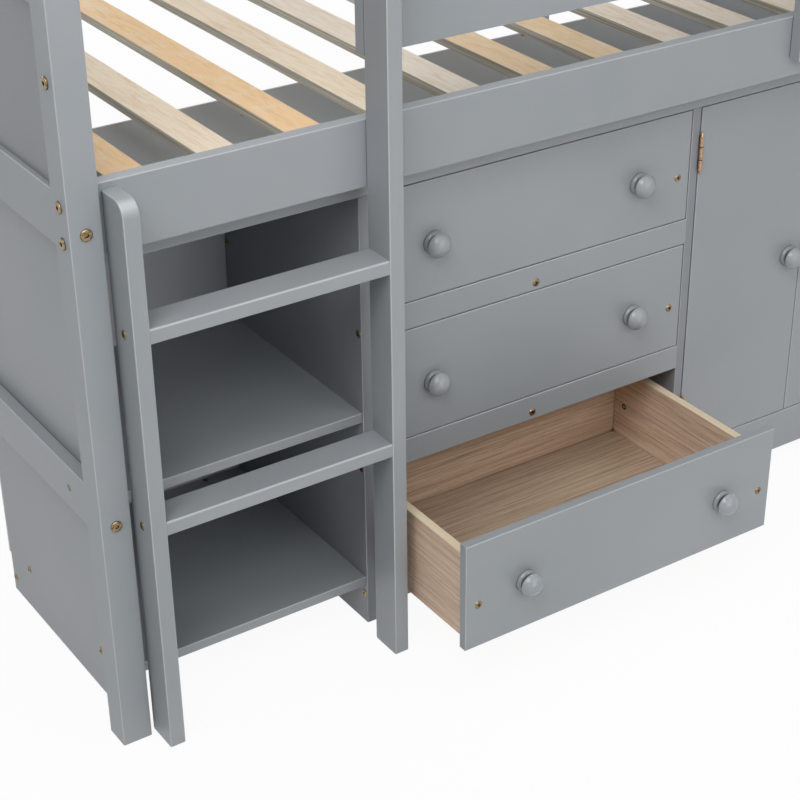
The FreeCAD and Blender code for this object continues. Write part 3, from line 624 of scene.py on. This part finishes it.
flush_tree = cross_head_screws("flush cross-head screws", False)
domed_tree = cross_head_screws("domed cross-head screws", True)
screw_sizes = {
    "Head radius": SCREW_HEAD, "Head depth": SCREW_HEAD_DEPTH,
    "Shank radius": SCREW_SHANK, "Length": SCREW_LENGTH,
    "Recess span": RECESS_SPAN, "Recess width": RECESS_WIDTH, "Recess depth": RECESS_DEPTH,
    "Dome radius": SCREW_DOME, "Dome rise": SCREW_DOME_RISE,
}
places = screw_places("wood_screws")
flush_places = [place for place in places if not stands_proud(place)]
proud_places = [place for place in places if stands_proud(place)]
fasteners("flush_screws", flush_tree, flush_places, screw_sizes, "bed", ["wood_screws"])
fasteners("domed_screws", domed_tree, proud_places, screw_sizes, "bed")
for drawer in DRAWERS:
    fasteners(drawer + "_front_screws", domed_tree, screw_places(drawer + "_screws"), screw_sizes, drawer,
              [drawer + "_screws"])

# Short screws inside each drawer, through the sides near the back
short_sizes = dict(screw_sizes, Length=SIDE_SCREW_LENGTH)
for drawer in DRAWERS:
    low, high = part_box(drawer + "_box")
    depth = high.y - SIDE_SCREW_INSET * MM
    height = low.z + (high.z - low.z) * SIDE_SCREW_RISE
    places = [(Vector((low.x + SIDE_BOARD * MM, depth, height)), Vector((-1, 0, 0))),
              (Vector((high.x - SIDE_BOARD * MM, depth, height)), Vector((1, 0, 0)))]
    fasteners(drawer + "_side_screws", flush_tree, places, short_sizes, drawer)

# Pins that hold the thin back panel to the case
low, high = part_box("case_back")
left, right = low.x + PIN_INSET * MM, high.x - PIN_INSET * MM
bottom, top = low.z + PIN_INSET * MM, high.z - PIN_INSET * MM
pin_lines = [((left, bottom), (right, bottom)), ((left, top), (right, top))]
for board in ("case_side_left", "bookcase_divider", "cabinet_divider", "case_side_right"):
    board_low, board_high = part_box(board)
    upright = min(max((board_low.x + board_high.x) / 2, left), right)
    pin_lines.append(((upright, bottom), (upright, top)))
pin_points = set()
for (x0, z0), (x1, z1) in pin_lines:
    count = max(2, round(math.hypot(x1 - x0, z1 - z0) / (PIN_STEP * MM)))
    for i in range(count + 1):
        share = i / count
        pin_points.add((round(x0 + (x1 - x0) * share, 4), high.y, round(z0 + (z1 - z0) * share, 4)))
pin_places = [(Vector(point), Vector((0, -1, 0))) for point in sorted(pin_points)]
pin_sizes = {"Head radius": PIN_HEAD, "Head depth": PIN_HEAD_DEPTH, "Shank radius": PIN_SHANK,
             "Length": PIN_LENGTH}
fasteners("back_panel_pins", flat_head_pins(), pin_places, pin_sizes, "bed")


# Floor, light and camera

def seen_rays(tree):
    """One for what the eye sees, straight or by way of gloss and glass, and zero for other light."""
    rays = add(tree, "ShaderNodeLightPath").outputs
    seen = add(tree, "ShaderNodeMath", {0: rays["Is Camera Ray"], 1: rays["Is Glossy Ray"]},
               operation="MAXIMUM")
    seen = add(tree, "ShaderNodeMath", {0: seen.outputs["Value"], 1: rays["Is Transmission Ray"]},
               operation="MAXIMUM")
    return seen.outputs["Value"]


def pale_floor(name):
    """A plain white floor. The eye sees paper white with a faint shadow, and other light bounces off it."""
    material = bpy.data.materials.new(name)
    material.use_nodes = True
    tree = material.node_tree
    tree.nodes.clear()
    share = add(tree, "ShaderNodeMath", {0: seen_rays(tree), 1: FLOOR_WHITE}, operation="MULTIPLY")
    matt = add(tree, "ShaderNodeBsdfDiffuse", {"Color": linear("#F4F4F4")})
    glow = add(tree, "ShaderNodeEmission", {"Color": linear(WHITE), "Strength": 1.0})
    mix = add(tree, "ShaderNodeMixShader",
              {"Fac": share.outputs["Value"], 1: matt.outputs["BSDF"], 2: glow.outputs["Emission"]})
    add(tree, "ShaderNodeOutputMaterial", {"Surface": mix.outputs["Shader"]})
    return material


def white_sky(tree):
    """A dim even light from all round, which the eye sees as white."""
    tree.nodes.clear()
    light = add(tree, "ShaderNodeBackground", {"Color": linear(WHITE), "Strength": SKY_LIGHT})
    white = add(tree, "ShaderNodeBackground", {"Color": linear(WHITE), "Strength": SKY_WHITE})
    sky = add(tree, "ShaderNodeMixShader",
              {"Fac": seen_rays(tree), 1: light.outputs["Background"], 2: white.outputs["Background"]})
    add(tree, "ShaderNodeOutputWorld", {"Surface": sky.outputs["Shader"]})


def softbox(name, place, aim, width, height, power):
    """A large soft lamp that faces a point of the bed, in metres and watts."""
    lamp = bpy.data.lights.new(name, "AREA")
    lamp.shape = "RECTANGLE"
    lamp.size = width
    lamp.size_y = height
    lamp.energy = power
    lamp_object = bpy.data.objects.new(name, lamp)
    lamp_object.location = place
    lamp_object.rotation_euler = (Vector(aim) - Vector(place)).to_track_quat("-Z", "Y").to_euler()
    scene.collection.objects.link(lamp_object)


floor_corners = [(x * FLOOR_HALF, y * FLOOR_HALF, -FLOOR_DROP * MM)
                 for x, y in ((-1, -1), (1, -1), (1, 1), (-1, 1))]
floor_mesh = bpy.data.meshes.new("floor")
floor_mesh.from_pydata(floor_corners, [], [(0, 1, 2, 3)])
floor = bpy.data.objects.new("floor", floor_mesh)
scene.collection.objects.link(floor)
floor_mesh.materials.append(pale_floor("pale studio floor"))

scene.view_settings.view_transform = "Standard"
world = scene.world or bpy.data.worlds.new("studio")
scene.world = world
world.use_nodes = True
white_sky(world.node_tree)

softbox("overhead softbox", (0.2, -0.8, 4.4), (0.2, -0.5, 0.8), 4.5, 3.5, 54.0)
softbox("high key softbox", (-2.6, -2.6, 4.0), (-0.2, -0.5, 0.7), 2.6, 2.6, 108.0)
softbox("left softbox", (-5.0, -1.4, 2.4), (-0.8, -0.3, 0.8), 2.4, 2.0, 10.0)
softbox("high right softbox", (2.6, -4.2, 3.4), (0.0, -0.5, 0.6), 1.6, 1.6, 26.0)
softbox("high front softbox", (0.2, -4.8, 3.0), (0.0, -0.5, 0.6), 2.8, 2.2, 36.0)
softbox("low front softbox", (0.0, -5.4, 1.0), (0.0, -0.5, 0.6), 1.4, 1.0, 26.0)
softbox("back fill softbox", (0.0, 5.0, 1.7), (0.0, 0.6, 0.7), 3.6, 2.0, 110.0)
softbox("right fill softbox", (5.2, 1.0, 1.7), (1.0, 0.2, 0.7), 2.4, 2.0, 90.0)

# Camera from the fit to the bed's edges, with its turns in degrees
camera = bpy.data.cameras.new("camera")
camera.sensor_fit = "HORIZONTAL"
camera.sensor_width = 36.0
camera.lens = 83.7708
camera.shift_x = -0.073375
camera.shift_y = 0.028034
camera_object = bpy.data.objects.new("camera", camera)
camera_object.location = (-2.006865, -3.043333, 2.144572)
camera_object.rotation_euler = Euler([math.radians(turn) for turn in (60.025238, -0.287495, -35.090640)])
scene.collection.objects.link(camera_object)
scene.camera = camera_object
